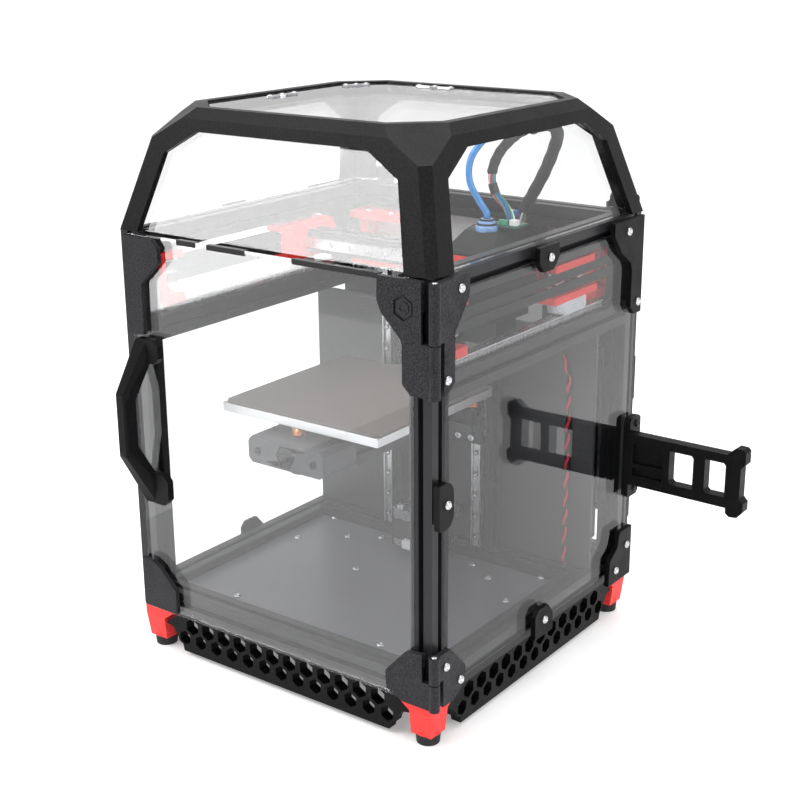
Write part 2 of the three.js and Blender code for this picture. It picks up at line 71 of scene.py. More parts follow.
# ------------------------------------------------------------------ camera
AZ, EL, ROLL, DIST = 0.6378005474, 0.3158420580, -0.0064931811, 868.1391
TX, TY, TZ = 42.9622, -45.9450, 150.0
back = Vector((math.sin(AZ) * math.cos(EL), -math.cos(AZ) * math.cos(EL), math.sin(EL)))
right = Vector((math.cos(AZ), math.sin(AZ), 0))
up = right.cross(-back)
r2 = right * math.cos(ROLL) + up * math.sin(ROLL)
u2 = -right * math.sin(ROLL) + up * math.cos(ROLL)
cam_data = bpy.data.cameras.new("camera")
cam = bpy.data.objects.new("camera", cam_data)
scene.collection.objects.link(cam)
place = Matrix((r2, u2, back)).transposed().to_4x4()
place.translation = P(TX, TY, TZ) + back * (DIST / 1000)
cam.matrix_world = place
cam_data.sensor_width = 36
cam_data.lens = 1450.998 / 800 * 36
cam_data.shift_x = -(400.34 - 400) / 800
cam_data.shift_y = (400.24 - 400) / 800
cam_data.clip_start = 0.01
scene.camera = cam

# ------------------------------------------------------------------ material helpers


def new_mat(name):
    m = bpy.data.materials.new(name)
    m.use_nodes = True
    nt = m.node_tree
    nt.nodes.clear()
    out = nt.nodes.new("ShaderNodeOutputMaterial")
    return m, nt, out


def coord(nt, scale=(1, 1, 1)):
    tc = nt.nodes.new("ShaderNodeTexCoord")
    mp = nt.nodes.new("ShaderNodeMapping")
    mp.inputs["Scale"].default_value = scale
    nt.links.new(tc.outputs["Object"], mp.inputs["Vector"])
    return mp.outputs["Vector"]


def noise(nt, scale, detail=3.0, rough=0.55, vec=None, stretch=(1, 1, 1)):
    n = nt.nodes.new("ShaderNodeTexNoise")
    n.inputs["Scale"].default_value = scale
    n.inputs["Detail"].default_value = detail
    n.inputs["Roughness"].default_value = rough
    nt.links.new(vec or coord(nt, stretch), n.inputs["Vector"])
    return n.outputs["Fac"]


def ramp(nt, fac, stops):
    r = nt.nodes.new("ShaderNodeValToRGB")
    e = r.color_ramp.elements
    e[0].position, e[0].color = stops[0][0], (*stops[0][1], 1)
    e[1].position, e[1].color = stops[-1][0], (*stops[-1][1], 1)
    for p, c in stops[1:-1]:
        q = e.new(p)
        q.color = (*c, 1)
    nt.links.new(fac, r.inputs["Fac"])
    return r.outputs["Color"]


def remap(nt, fac, a, b, c, d):
    n = nt.nodes.new("ShaderNodeMapRange")
    for k, v in zip(("From Min", "From Max", "To Min", "To Max"), (a, b, c, d)):
        n.inputs[k].default_value = v
    nt.links.new(fac, n.inputs["Value"])
    return n.outputs["Result"]


def bump(nt, height, strength, distance, normal=None):
    b = nt.nodes.new("ShaderNodeBump")
    b.inputs["Strength"].default_value = strength
    b.inputs["Distance"].default_value = distance
    nt.links.new(height, b.inputs["Height"])
    if normal is not None:
        nt.links.new(normal, b.inputs["Normal"])
    return b.outputs["Normal"]


def layers(nt, period_mm, distort=0.6):
    """Horizontal print layers."""
    w = nt.nodes.new("ShaderNodeTexWave")
    w.wave_type, w.bands_direction = "BANDS", "Z"
    w.inputs["Scale"].default_value = 2 * math.pi / (20 * period_mm / 1000)
    w.inputs["Distortion"].default_value = distort
    w.inputs["Detail"].default_value = 1.0
    nt.links.new(coord(nt), w.inputs["Vector"])
    return w.outputs["Fac"]


def above(nt, axis, limit):
    """1 where the object's own coordinate on that axis is over limit metres."""
    tc = nt.nodes.new("ShaderNodeTexCoord")
    s = nt.nodes.new("ShaderNodeSeparateXYZ")
    nt.links.new(tc.outputs["Object"], s.inputs["Vector"])
    g = nt.nodes.new("ShaderNodeMath")
    g.operation = "GREATER_THAN"
    g.inputs[1].default_value = limit
    nt.links.new(s.outputs["XYZ".index(axis)], g.inputs[0])
    return g.outputs[0]


def principled(nt, **kw):
    b = nt.nodes.new("ShaderNodeBsdfPrincipled")
    for k, v in kw.items():
        b.inputs[k.replace("_", " ")].default_value = v
    return b


def printed(name, dark, light, rough=(0.45, 0.7), speckle=1.0, grain=900, lines=0.0, spec=0.4):
    """Printed plastic: speckled skin from a textured plate and fine layer lines."""
    m, nt, out = new_mat(name)
    b = principled(nt, Specular_IOR_Level=spec)
    n = noise(nt, grain, 2.5, 0.6)
    nt.links.new(ramp(nt, n, [(0.38, dark), (0.55, tuple((a + c) / 2 for a, c in zip(dark, light))), (0.74, light)]), b.inputs["Base Color"])
    big = noise(nt, 60, 3)
    nt.links.new(remap(nt, big, 0.3, 0.7, *rough), b.inputs["Roughness"])
    nrm = bump(nt, n, 0.5 * speckle, 0.00025)
    if lines:
        nrm = bump(nt, layers(nt, 0.5), lines, 0.00006, nrm)
    nt.links.new(nrm, b.inputs["Normal"])
    nt.links.new(b.outputs[0], out.inputs["Surface"])
    return m


def metal(name, colour, rough=(0.2, 0.34), stretch=(1, 1, 1), scale=300, metallic=1.0, strength=0.02, spec=0.5):
    m, nt, out = new_mat(name)
    b = principled(nt, Metallic=metallic, Specular_IOR_Level=spec)
    n = noise(nt, scale, 4, 0.6, stretch=stretch)
    lo = tuple(c * 0.92 for c in colour)
    hi = tuple(min(1, c * 1.07) for c in colour)
    nt.links.new(ramp(nt, n, [(0.3, lo), (0.7, hi)]), b.inputs["Base Color"])
    nt.links.new(remap(nt, n, 0.3, 0.7, *rough), b.inputs["Roughness"])
    nt.links.new(bump(nt, n, strength, 0.0001), b.inputs["Normal"])
    nt.links.new(b.outputs[0], out.inputs["Surface"])
    return m


def plain(name, colour, rough=(0.35, 0.5), scale=400, var=0.12, strength=0.1, metallic=0.0, spec=0.5, coat=0.0):
    m, nt, out = new_mat(name)
    b = principled(nt, Metallic=metallic, Specular_IOR_Level=spec, Coat_Weight=coat)
    n = noise(nt, scale, 3, 0.55)
    lo = tuple(max(0, c * (1 - var)) for c in colour)
    hi = tuple(min(1, c * (1 + var)) for c in colour)
    nt.links.new(ramp(nt, n, [(0.3, lo), (0.7, hi)]), b.inputs["Base Color"])
    nt.links.new(remap(nt, n, 0.3, 0.7, *rough), b.inputs["Roughness"])
    nt.links.new(bump(nt, n, strength, 0.0001), b.inputs["Normal"])
    nt.links.new(b.outputs[0], out.inputs["Surface"])
    return m


def two(name, axis, limit, low, high):
    """One CAD solid of two finishes, split at a plane: low(nt) and high(nt) return shaders."""
    m, nt, out = new_mat(name)
    mix = nt.nodes.new("ShaderNodeMixShader")
    nt.links.new(above(nt, axis, limit), mix.inputs[0])
    nt.links.new(low(nt), mix.inputs[1])
    nt.links.new(high(nt), mix.inputs[2])
    nt.links.new(mix.outputs[0], out.inputs["Surface"])
    return m


def sh(colour, rough=(0.3, 0.5), metallic=0.0, scale=500, strength=0.03, var=0.08, spec=0.35):
    def make(nt):
        b = principled(nt, Metallic=metallic, Specular_IOR_Level=spec)
        n = noise(nt, scale, 3, 0.6)
        nt.links.new(ramp(nt, n, [(0.3, tuple(c * (1 - var) for c in colour)), (0.72, tuple(min(1, c * (1 + var)) for c in colour))]), b.inputs["Base Color"])
        nt.links.new(remap(nt, n, 0.3, 0.7, *rough), b.inputs["Roughness"])
        nt.links.new(bump(nt, n, strength, 0.0001), b.inputs["Normal"])
        return b.outputs[0]
    return make


def glass(name, tint, mirror0=0.05, rough=0.02, smear=0.03):
    """Clear sheet: lets light straight through, mirrors more at a glancing angle, with a faint haze of fine scratches."""
    m, nt, out = new_mat(name)
    clear = nt.nodes.new("ShaderNodeBsdfTransparent")
    n = noise(nt, 35, 5, 0.6)
    nt.links.new(ramp(nt, n, [(0.3, tuple(t * 0.985 for t in tint)), (0.7, tint)]), clear.inputs["Color"])
    gloss = nt.nodes.new("ShaderNodeBsdfGlossy")
    gloss.inputs["Color"].default_value = (1, 1, 1, 1)
    nt.links.new(remap(nt, noise(nt, 90, 4, 0.6), 0.3, 0.7, rough, rough + smear), gloss.inputs["Roughness"])
    lw = nt.nodes.new("ShaderNodeLayerWeight")
    lw.inputs["Blend"].default_value = 0.5
    p = nt.nodes.new("ShaderNodeMath")
    p.operation = "POWER"
    p.inputs[1].default_value = 5.0
    nt.links.new(lw.outputs["Facing"], p.inputs[0])
    f = remap(nt, p.outputs[0], 0, 1, mirror0, 1.0)
    mix = nt.nodes.new("ShaderNodeMixShader")
    nt.links.new(f, mix.inputs[0])
    nt.links.new(clear.outputs[0], mix.inputs[1])
    nt.links.new(gloss.outputs[0], mix.inputs[2])
    nt.links.new(mix.outputs[0], out.inputs["Surface"])
    return m


# ------------------------------------------------------------------ materials
M_EXTR = metal("black_anodised", (0.020, 0.020, 0.022), (0.30, 0.42), scale=500, metallic=0.20, strength=0.03, spec=0.24)
M_SPECK = printed("printed_black_speckled", (0.002, 0.002, 0.003), (0.034, 0.032, 0.038), (0.42, 0.62), 1.2, 1100, 0.0, 0.22)
M_PRINT = printed("printed_black", (0.0018, 0.0018, 0.0022), (0.006, 0.006, 0.007), (0.34, 0.50), 0.28, 900, 0.28, 0.10)
M_HAT = printed("printed_black_hat", (0.003, 0.003, 0.0035), (0.010, 0.0095, 0.011), (0.32, 0.46), 0.25, 700, 0.22, 0.15)
M_RED = printed("printed_red", (0.62, 0.018, 0.014), (0.86, 0.040, 0.032), (0.38, 0.55), 0.25, 700, 0.35, 0.45)
# the door, side and hat sheets are one clear acrylic; each gets its own tint and mirror strength, which paints the
# light and shade falling on it: the right sheet darkest, the left sheet a little darker than the door, the hat sheets
# lightest
M_GLASS = glass("clear_acrylic", (0.975, 0.980, 0.982), 0.050)
M_GLASS_RIGHT_SHADED = glass("clear_acrylic_right_painted_shade", (0.885, 0.888, 0.892), 0.026)
M_GLASS_LEFT_SHADED = glass("clear_acrylic_left_painted_shade", (0.955, 0.958, 0.960), 0.045)
M_HATGLASS_LIT = glass("clear_acrylic_hat_painted_light", (0.997, 0.998, 0.998), 0.045)
M_STEEL = metal("steel", (0.60, 0.60, 0.62), (0.18, 0.34), scale=350)
M_SCREW = metal("screw_steel", (0.52, 0.52, 0.54), (0.14, 0.26), scale=900)
M_RAIL = metal("rail_steel", (0.52, 0.52, 0.53), (0.22, 0.38), stretch=(1, 1, 0.06), scale=900)
M_ALU = metal("plate_aluminium", (0.66, 0.66, 0.67), (0.30, 0.45), stretch=(0.1, 1, 1), scale=900)
M_SHEET = plain("build_sheet_coating", (0.118, 0.103, 0.094), (0.34, 0.46), 1600, 0.30, 0.20, 0.10, 0.4)
M_FLOOR = plain("grey_floor_sheet", (0.125, 0.125, 0.140), (0.285, 0.300), 60, 0.02, 0.0, 0.0, 0.45)
M_BACK = plain("dark_back_sheet", (0.040, 0.040, 0.043), (0.31, 0.33), 60, 0.03, 0.0, 0.0, 0.35)
M_WHITE = plain("white_sheet", (0.74, 0.74, 0.75), (0.40, 0.43), 60, 0.008, 0.0)
M_RUBBER = plain("black_rubber", (0.010, 0.010, 0.010), (0.60, 0.75), 900, 0.35, 0.25, 0.0, 0.3)
M_DARK = plain("black_moulded", (0.008, 0.008, 0.009), (0.28, 0.42), 700, 0.25, 0.05, 0.0, 0.3)
M_MOUNT = printed("printed_dark_grey", (0.055, 0.055, 0.060), (0.085, 0.085, 0.092), (0.40, 0.55), 0.30, 900, 0.30, 0.35)
M_GREYP = plain("grey_moulded", (0.13, 0.135, 0.13), (0.35, 0.50), 600, 0.15, 0.12)
M_BRASS = metal("brass", (0.72, 0.47, 0.16), (0.18, 0.32), scale=600)
M_COPPER = metal("orange_anodised", (0.92, 0.36, 0.12), (0.22, 0.36), scale=600)
M_BLUE = plain("blue_tube", (0.010, 0.235, 0.640), (0.16, 0.28), 300, 0.12, 0.03, 0.0, 0.5, 0.3)
M_COLLET = plain("pale_blue_collet", (0.20, 0.38, 0.72), (0.20, 0.30), 400, 0.10, 0.03, 0.0, 0.5, 0.3)
M_BELT = plain("black_belt", (0.012, 0.012, 0.012), (0.55, 0.70), 1500, 0.3, 0.3, 0.0, 0.3)
M_BOARD = plain("green_board", (0.010, 0.11, 0.075), (0.25, 0.38), 900, 0.25, 0.10)
M_SILICONE = plain("heater_pad", (0.42, 0.10, 0.035), (0.45, 0.60), 500, 0.12, 0.12)
WIRES = {k: plain("wire_" + k, c, (0.28, 0.42), 600, 0.10, 0.04) for k, c in {
    "white": (0.78, 0.78, 0.78), "red": (0.62, 0.015, 0.05), "green": (0.02, 0.30, 0.17), "teal": (0.015, 0.30, 0.30),
    "blue": (0.05, 0.10, 0.42), "black": (0.012, 0.012, 0.013), "grey": (0.30, 0.30, 0.32), "yellow": (0.60, 0.42, 0.03)}.items()}


def braided(name):
    m, nt, out = new_mat(name)
    b = principled(nt, Specular_IOR_Level=0.35)
    v = nt.nodes.new("ShaderNodeTexVoronoi")
    v.inputs["Scale"].default_value = 1500
    nt.links.new(coord(nt, (1, 1, 0.55)), v.inputs["Vector"])
    nt.links.new(ramp(nt, v.outputs["Distance"], [(0.1, (0.070, 0.068, 0.072)), (0.75, (0.008, 0.008, 0.009))]), b.inputs["Base Color"])
    nt.links.new(remap(nt, noise(nt, 300, 3), 0.3, 0.7, 0.5, 0.75), b.inputs["Roughness"])
    nt.links.new(bump(nt, v.outputs["Distance"], 0.8, 0.0004), b.inputs["Normal"])
    nt.links.new(b.outputs[0], out.inputs["Surface"])
    return m


M_SLEEVE = braided("braided_sleeve")
M_FOOT = two("foot_red_and_rubber", "Z", fz(-23.4), sh((0.012, 0.012, 0.012), (0.6, 0.75), strength=0.3), sh((0.80, 0.030, 0.026), (0.38, 0.55), strength=0.15, var=0.10))
M_DRIVE = two("drive_red_and_motor", "Z", fz(192.65), sh((0.02, 0.02, 0.021), (0.35, 0.5)), sh((0.78, 0.028, 0.022), (0.38, 0.55), var=0.10))
M_XY = two("joint_red_and_steel", "Z", fz(206.05), sh((0.6, 0.6, 0.62), (0.26, 0.31), 1.0, 200, 0.0, 0.03), sh((0.78, 0.028, 0.022), (0.38, 0.55), var=0.10))
M_BEAM = two("beam_rail_and_black", "Y", fy(31.95), sh((0.55, 0.55, 0.56), (0.26, 0.31), 1.0, 200, 0.0, 0.03), sh((0.03, 0.03, 0.033), (0.3, 0.45), 0.35))
M_CARRIER = two("carrier_black_and_steel", "Y", fy(38.45), sh((0.03, 0.03, 0.033), (0.3, 0.46), 0.35), sh((0.58, 0.58, 0.60), (0.26, 0.31), 1.0, 200, 0.0, 0.03))
M_HEAD = two("toolhead_brass_and_black", "Z", fz(180.05), sh((0.72, 0.47, 0.16), (0.2, 0.35), 1.0), sh((0.008, 0.008, 0.009), (0.38, 0.56), scale=900, strength=0.25, var=0.5, spec=0.25))
M_MOTOR = two("motor_black_and_steel", "Z", fz(42.95), sh((0.02, 0.02, 0.021), (0.35, 0.5)), sh((0.6, 0.6, 0.62), (0.26, 0.31), 1.0, 200, 0.0, 0.03))

for n, o in nodes.items():
    if n in ("frame_side_right", "frame_side_left", "rail_bottom_front", "rail_bottom_rear", "rail_top_rear", "lift_frame"): m = M_EXTR
    elif n.startswith("foot_"): m = M_FOOT
    elif n.startswith("drive_unit"): m = M_DRIVE
    elif n.startswith("xy_joint"): m = M_XY
    elif n == "cross_beam": m = M_BEAM
    elif n == "bed_carrier": m = M_CARRIER
    elif n == "toolhead": m = M_HEAD
    elif n == "lift_motor": m = M_MOTOR
    elif n.startswith(("lift_rail", "y_rail")): m = M_RAIL
    elif n == "lead_screw": m = M_STEEL
    elif n == "floor_panel": m = M_FLOOR
    elif n == "inner_back_panel": m = M_BACK
    elif n == "rear_panel": m = M_WHITE
    elif n == "door_panel": m = M_GLASS
    elif n == "side_panel_right": m = M_GLASS_RIGHT_SHADED
    elif n == "side_panel_left": m = M_GLASS_LEFT_SHADED
    elif n == "bed_front_mount": m = M_MOUNT
    elif n in ("hat_windows", "hat_top_panel"): m = M_HATGLASS_LIT
    elif n in ("hinge_fixed_upper", "hinge_fixed_lower", "hinge_door_upper", "hinge_door_lower", "door_latch_upper", "door_latch_lower"): m = M_SPECK
    elif n == "hat_frame": m = M_HAT
    elif n == "build_plate": m = M_ALU
    elif n == "build_sheet": m = M_SHEET
    elif n == "filament_tube": m = M_BLUE
    elif n in ("loom_front", "loom_rear"): m = M_SLEEVE
    else: m = M_PRINT
    o.data.materials.clear()
    o.data.materials.append(m)
    # rounded edges: weld the faceted solid, bevel it, and shade it smooth
    for a in ("custom_normal",):
        if a in o.data.attributes: o.data.attributes.remove(o.data.attributes[a])
    for p in o.data.polygons: p.use_smooth = True
    width = {"hat_frame": 0.0006, "door_handle": 0.0012, "spool_holder": 0.0007, "build_sheet": 0.0002, "hat_windows": 0.0002, "hat_top_panel": 0.0004,
             "skirt_front": 0.0003, "skirt_rear": 0.0003, "skirt_left": 0.0003, "skirt_right": 0.0003, "lift_rail_left": 0.00015, "lift_rail_right": 0.00015,
             "y_rail_right": 0.00015, "y_rail_left": 0.00015, "floor_panel": 0.0003, "inner_back_panel": 0.0003, "rear_panel": 0.0003,
             "build_plate": 0.0005, "toolhead": 0.0006}.get(n, 0.0004)
    if n.startswith(("frame_side", "rail_", "lift_frame", "cross_beam", "bed_carrier")): width = 0.0003
    w = o.modifiers.new("weld", "WELD")
    w.merge_threshold = 0.000002
    b = o.modifiers.new("edges", "BEVEL")
    b.width, b.segments, b.limit_method, b.angle_limit = width, 2, "ANGLE", math.radians(28)
    b.harden_normals = True
    b.use_clamp_overlap = True

# ------------------------------------------------------------------ mesh helpers


class Mesh:
    """Collects faces in millimetres of the machine's grid and makes one object."""

    def __init__(self):
        self.v, self.f, self.mi, self.mats, self.sm = [], [], [], [], []

    def _m(self, mat):
        if mat not in self.mats: self.mats.append(mat)
        return self.mats.index(mat)

    def add(self, verts, faces, mat, smooth=False):
        k, m = len(self.v), self._m(mat)
        self.v += [tuple(v) for v in verts]
        for f in faces:
            self.f.append([i + k for i in f]); self.mi.append(m); self.sm.append(smooth)

    def box(self, x0, x1, y0, y1, z0, z1, mat):
        v = [(x, y, z) for x in (x0, x1) for y in (y0, y1) for z in (z0, z1)]
        self.add(v, [(0, 1, 3, 2), (4, 6, 7, 5), (0, 4, 5, 1), (2, 3, 7, 6), (0, 2, 6, 4), (1, 5, 7, 3)], mat)

    def prism(self, pts, a, b, plane, mat):
        area = sum(p[0] * q[1] - q[0] * p[1] for p, q in zip(pts, pts[1:] + pts[:1]))
        if area < 0: pts = pts[::-1]
        put = {"XY": lambda u, v, w: (u, v, w), "XZ": lambda u, v, w: (u, w, v), "YZ": lambda u, v, w: (w, u, v)}[plane]
        n = len(pts)
        v = [put(*p, a) for p in pts] + [put(*p, b) for p in pts]
        f = [tuple(range(n - 1, -1, -1)), tuple(range(n, 2 * n))] + [(i, (i + 1) % n, n + (i + 1) % n, n + i) for i in range(n)]
        if plane == "XZ": f = [t[::-1] for t in f]
        self.add(v, f, mat)

    def lathe(self, profile, centre, axis, mat, seg=24, smooth=True):
        """profile: (radius, height) from the axis at one end to the axis at the other; a third value of 6 makes that ring a hexagon."""
        a = Vector(axis).normalized()
        x = a.orthogonal().normalized()
        y = a.cross(x)
        c = Vector(centre)
        v, rows = [], []
        for p in profile:
            r, h = p[0], p[1]
            if r == 0:
                rows.append([len(v)]); v.append(c + a * h); continue
            row = []
            for i in range(seg):
                t = 2 * math.pi * i / seg
                rr = r / math.cos((t % (math.pi / 3)) - math.pi / 6) if len(p) > 2 else r
                row.append(len(v)); v.append(c + a * h + (x * math.cos(t) + y * math.sin(t)) * rr)
            rows.append(row)
        f = []
        for s, t in zip(rows, rows[1:]):
            for i in range(seg):
                j = (i + 1) % seg
                if len(s) == 1 and len(t) == 1: continue
                if len(s) == 1: f.append((s[0], t[j], t[i]))
                elif len(t) == 1: f.append((s[i], s[j], t[0]))
                else: f.append((s[i], s[j], t[j], t[i]))
        self.add(v, f, mat, smooth)

    def sweep(self, pts, r, mat, sides=10, smooth=True, flat=None, cap=True):
        """A round (or flat w x h) bar along a list of points."""
        q = [Vector(p) for p in pts]
        t = [(q[min(i + 1, len(q) - 1)] - q[max(i - 1, 0)]).normalized() for i in range(len(q))]
        n = t[0].orthogonal().normalized() if flat is None else Vector((0, 0, 1))
        v, f = [], []
        for i in range(len(q)):
            n = (n - t[i] * n.dot(t[i])).normalized()
            b = t[i].cross(n)
            if flat is None:
                rr = r(i / (len(q) - 1)) if callable(r) else r
                v += [q[i] + (n * math.cos(2 * math.pi * k / sides) + b * math.sin(2 * math.pi * k / sides)) * rr for k in range(sides)]
            else:
                w, h = flat
                v += [q[i] + b * (w / 2 * sx) + n * (h / 2 * sz) for sx, sz in ((1, 1), (-1, 1), (-1, -1), (1, -1))]
        s = sides if flat is None else 4
        for i in range(len(q) - 1):
            for k in range(s):
                f.append((i * s + k, i * s + (k + 1) % s, (i + 1) * s + (k + 1) % s, (i + 1) * s + k))
        if cap:
            f.append(tuple(range(s - 1, -1, -1)))
            f.append(tuple((len(q) - 1) * s + k for k in range(s)))
        self.add(v, f, mat, smooth and flat is None)

    def screw(self, at, axis, r=2.8, h=1.6, mat=None):
        mat = mat or M_SCREW
        s = r * 0.42
        self.lathe([(0, h - 1.1), (s, h - 1.1, 6), (s, h, 6), (r * 0.62, h), (r * 0.86, h * 0.72), (r, h * 0.30), (r, -0.05), (0, -0.05)], at, axis, mat, 24)

    def cap_screw(self, at, axis, r=2.6, h=2.8, mat=None):
        mat = mat or M_SCREW
        s = r * 0.45
        self.lathe([(0, h - 1.4), (s, h - 1.4, 6), (s, h, 6), (r * 0.88, h), (r, h - 0.3), (r, -0.05), (0, -0.05)], at, axis, mat, 24)

    def make(self, name, body, slot, bevel=0.0, blend=None, replaces=()):
        me = bpy.data.meshes.new(name)
        me.from_pydata([P(*v) for v in self.v], [], self.f)
        for m in self.mats: me.materials.append(m)
        for p, k, s in zip(me.polygons, self.mi, self.sm):
            p.material_index, p.use_smooth = k, s
        bm = bmesh.new(); bm.from_mesh(me)
        bmesh.ops.recalc_face_normals(bm, faces=bm.faces)
        bm.to_mesh(me); bm.free()
        o = bpy.data.objects.new(name, me)
        scene.collection.objects.link(o)
        if bevel:
            b = o.modifiers.new("edges", "BEVEL")
            b.width, b.segments, b.limit_method, b.angle_limit = bevel / 1000, 2, "ANGLE", math.radians(35)
        if blend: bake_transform(o)
        else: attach(o, body)
        if replaces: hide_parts(*replaces)
        return o


def curve(pts, n=60):
    """Centripetal Catmull-Rom through the points, as n+1 points evenly along its parameter."""
    q = [Vector(p) for p in pts]
    q = [q[0] * 2 - q[1]] + q + [q[-1] * 2 - q[-2]]
    t = [0.0]
    for a, b in zip(q, q[1:]): t.append(t[-1] + max((b - a).length, 1e-6) ** 0.5)
    out = []
    for k in range(n + 1):
        u = t[1] + (t[-2] - t[1]) * k / n
        i = 1
        while i < len(q) - 3 and u > t[i + 1]: i += 1
        p0, p1, p2, p3 = q[i - 1:i + 3]
        t0, t1, t2, t3 = t[i - 1:i + 3]
        a1 = p0 * ((t1 - u) / (t1 - t0)) + p1 * ((u - t0) / (t1 - t0))
        a2 = p1 * ((t2 - u) / (t2 - t1)) + p2 * ((u - t1) / (t2 - t1))
        a3 = p2 * ((t3 - u) / (t3 - t2)) + p3 * ((u - t2) / (t3 - t2))
        b1 = a1 * ((t2 - u) / (t2 - t0)) + a2 * ((u - t0) / (t2 - t0))
        b2 = a2 * ((t3 - u) / (t3 - t1)) + a3 * ((u - t1) / (t3 - t1))
        out.append(b1 * ((t2 - u) / (t2 - t1)) + b2 * ((u - t1) / (t2 - t1)))
    return out


def strand(line, off, turns, phase, a=0.0, b=1.0, wob=0.0, seed=1):
    """A wire that runs beside a centre line, turning slowly round it."""
    n = len(line) - 1
    t = [(line[min(i + 1, n)] - line[max(i - 1, 0)]).normalized() for i in range(n + 1)]
    u = t[0].orthogonal().normalized()
    g = random.Random(seed)
    w = [g.uniform(-1, 1) for _ in range(6)]
    out = []
    for i in range(n + 1):
        u = (u - t[i] * u.dot(t[i])).normalized()
        v = t[i].cross(u)
        s = i / n
        ang = phase + turns * 2 * math.pi * s
        rr = off + wob * (w[0] * math.sin(3 * s * math.pi + w[1] * 3) + w[2] * math.sin(7 * s + w[3] * 3)) * math.sin(math.pi * s)
        if a <= s <= b: out.append(line[i] + (u * math.cos(ang) + v * math.sin(ang)) * rr)
    return out


# ------------------------------------------------------------------ tube and wiring
TUBE = [(68, 8, 254.4), (67.9, 8, 257), (64, 6, 264), (58.5, 3.5, 276), (57.2, 6, 288), (60, 12, 297), (65, 22, 305), (70.5, 33, 310.2), (74.5, 42, 311.8)]
LOOM = [(79.5, 17, 250.9), (79.4, 17, 253.5), (75.5, 17.3, 260), (68, 17, 268), (65, 17.5, 279), (66.5, 23, 291), (71.5, 33, 300.5), (76.5, 43, 305)]
REAR = [(77, 44.4, 305.2), (83, 55, 305), (82.5, 63, 299), (76, 70, 288), (66, 76, 272), (53, 83, 255), (43, 90, 243), (40.2, 92.4, 234.5), (40.2, 92.5, 230.2)]
head_to_tie = ("toolhead", "gantry", P(70, 11, 256), P(76.5, 43, 305))
tie_to_frame = ("gantry", "frame", P(77, 44.4, 305.2), P(40.2, 92.4, 233))

m = Mesh()
m.sweep(curve(TUBE, 64), 2.0, M_BLUE, 16)
m.make("ptfe_tube", None, "blue_tube", blend=head_to_tie, replaces=("filament_tube",))

line = curve(LOOM, 72)
m = Mesh()
cols = ["white", "white", "red", "teal", "blue", "green", "white", "grey"]
for k, c in enumerate(cols):
    off = 0.2 if k == 7 else 1.75
    m.sweep(strand(line, off, 0.8, k * 2 * math.pi / 7, 0, 1, 0.5, k + 3), 0.68, WIRES[c], 8)
m.make("head_wires", None, "sleeve", blend=head_to_tie, replaces=("loom_front",))
m = Mesh()
m.sweep(strand(line, 0.0, 0, 0, 0.50, 1.0), lambda s: 3.05 + 0.12 * math.sin(40 * s) - (0.9 if s < 0.02 else 0), M_SLEEVE, 16)
m.sweep(strand(line, 0.0, 0, 0, 0.34, 0.44), lambda s: 2.75 + 0.10 * math.sin(20 * s), WIRES["black"], 16)
m.make("head_wires_wrap", None, "sleeve", blend=head_to_tie)

line = curve(REAR, 84)
m = Mesh()
m.sweep(strand(line, 0.0, 0, 0, 0.0, 0.80), lambda s: 3.9 + 0.14 * math.sin(50 * s), M_SLEEVE, 18)
for k, c in enumerate(["white", "teal", "blue", "red", "green", "white", "black"]):
    m.sweep(strand(line, 2.0 if k else 0.1, 0.6, k * 2 * math.pi / 6, 0.72, 1.0, 0.4, k + 20), 0.7, WIRES[c], 8)
m.make("rear_loom", None, "sleeve", blend=tie_to_frame, replaces=("loom_rear",))
# the ties that gather the loom where its two runs meet
m = Mesh()
mid = Vector((76.75, 43.7, 305.1))
d = (Vector(REAR[1]) - Vector(LOOM[-2])).normalized()
m.lathe([(0, -2.2), (4.0, -2.2), (4.35, -1.8), (4.35, 1.8), (4.0, 2.2), (0, 2.2)], mid, d, M_DARK, 20)
m.lathe([(0, -0.9), (4.8, -0.9), (4.8, 0.9), (0, 0.9)], mid, d, M_DARK, 20)
m.sweep([(74.5, 42.6, 311.8), (75.4, 43.2, 311.0), (76.2, 43.6, 309.2)], 1.1, M_DARK, 8)
m.make("loom_tie", "gantry", "sleeve")

# ------------------------------------------------------------------ screws
X1, XH = 122.0, 122.2
m = Mesh()
for y, z, x in [(-99, 240.5, XH), (-111.2, 193.2, XH), (-111.6, 25.5, XH), (-97.2, 11.4, XH), (-7.9, 240.3, X1), (-110.3, 122.5, X1), (-4.3, 11.1, X1),
                (101.2, 24, X1), (87.2, 10, X1), (86, 239.4, X1), (101.2, 191.9, X1)]:
    m.screw((x, y, z), (1, 0, 0), 2.7)
for y, z in [(106, 64), (106, 109)]:
    m.screw((123.4, y, z), (1, 0, 0), 2.6, 1.5, M_DARK)
m.make("screws_right", "frame", "steel")

m = Mesh()
hx = [(101.5 + 5.9 * math.cos(math.pi / 6 + k * math.pi / 3), 231.5 + 5.9 * math.sin(math.pi / 6 + k * math.pi / 3)) for k in range(6)]
m.prism(hx, -121.75, -121.15, "XZ", M_DARK)
m.lathe([(0, 0), (3.6, 0), (3.6, 0.45), (2.2, 0.45), (2.2, 0.05), (0, 0.05)], (101.5, -121.75, 231.5), (0, -1, 0), M_SPECK, 24)
m.make("hinge_hex_inset", "door", "black_print", 0.15)

# hinge pins, seen at the ends of the knuckles
m = Mesh()
for z0, z1 in ((184.0, 247.4), (0.5, 35)):
    m.lathe([(0, z0), (1.5, z0), (1.5, z1), (0, z1)], (120.6, -120.6, 0), (0, 0, 1), M_STEEL, 16)
m.make("hinge_pins", "frame", "steel")

# ------------------------------------------------------------------ rails
m = Mesh()


